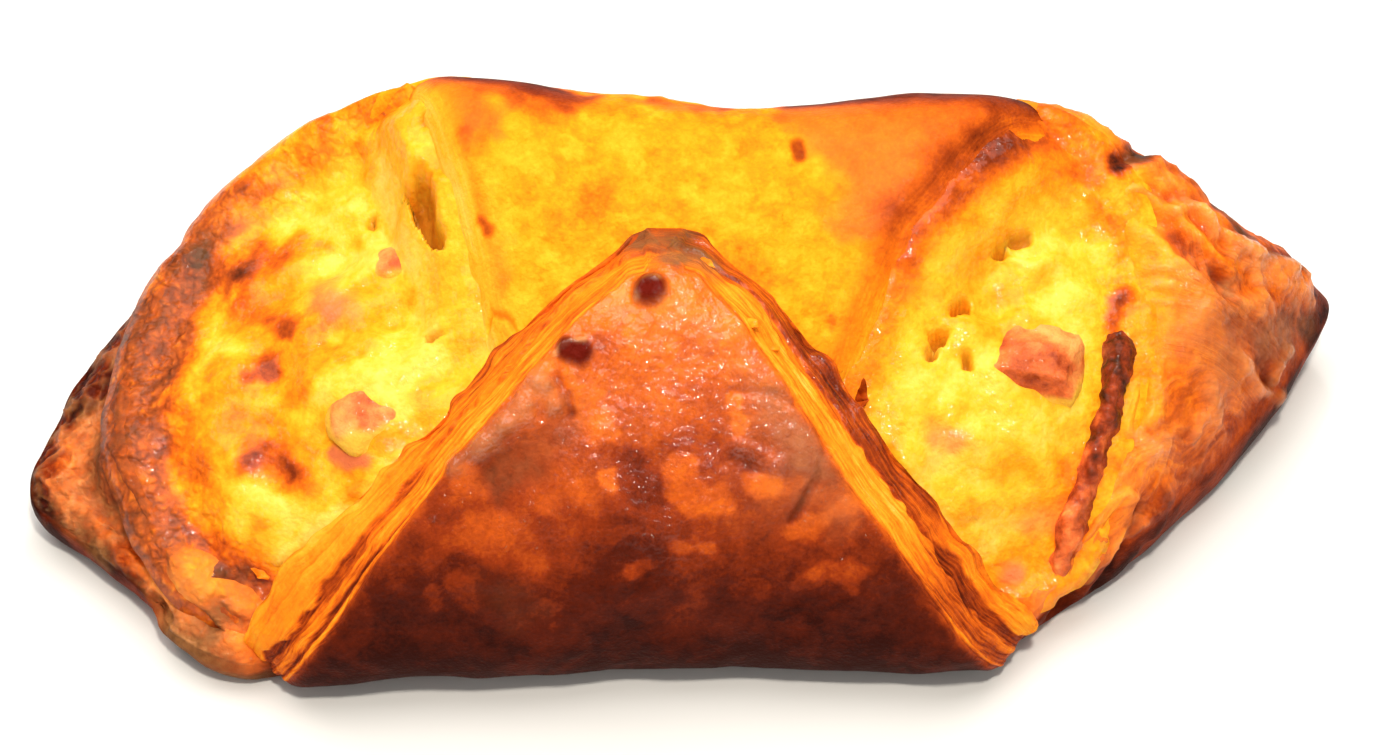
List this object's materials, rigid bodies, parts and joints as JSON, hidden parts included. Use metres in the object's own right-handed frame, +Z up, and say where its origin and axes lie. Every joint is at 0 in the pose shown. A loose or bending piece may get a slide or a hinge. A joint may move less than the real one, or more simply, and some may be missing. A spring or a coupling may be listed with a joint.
{
  "type": "ham and cheese danish",
  "caption": "Baked square of laminated dough with opposite corners folded over a cheese sauce filling with diced ham that shows at each open end.",
  "frame": {"origin": "middle of the bounding box's underside, on the surface the danish lies on", "axes": "+X towards the right wing of unfolded dough, along the longest extent; +Y towards the back fold; +Z up"},
  "size_m": [0.153, 0.0702, 0.0434],
  "materials": {
    "crust": "egg-glazed baked crust, glossy, orange-brown to dark brown",
    "cheese": "baked cheese sauce, satin, yellow with orange and brown spots",
    "ham": "cooked ham, moist satin pink",
    "browned_ham": "ham browned to a dark crisp edge"
  },
  "bodies": {
    "root": {"pastry": "crust", "filling": "cheese", "ham_cube_right": "ham", "ham_cube_left": "ham", "ham_bit_left": "ham", "ham_slice_right": "browned_ham"}
  },
  "joints": []
}
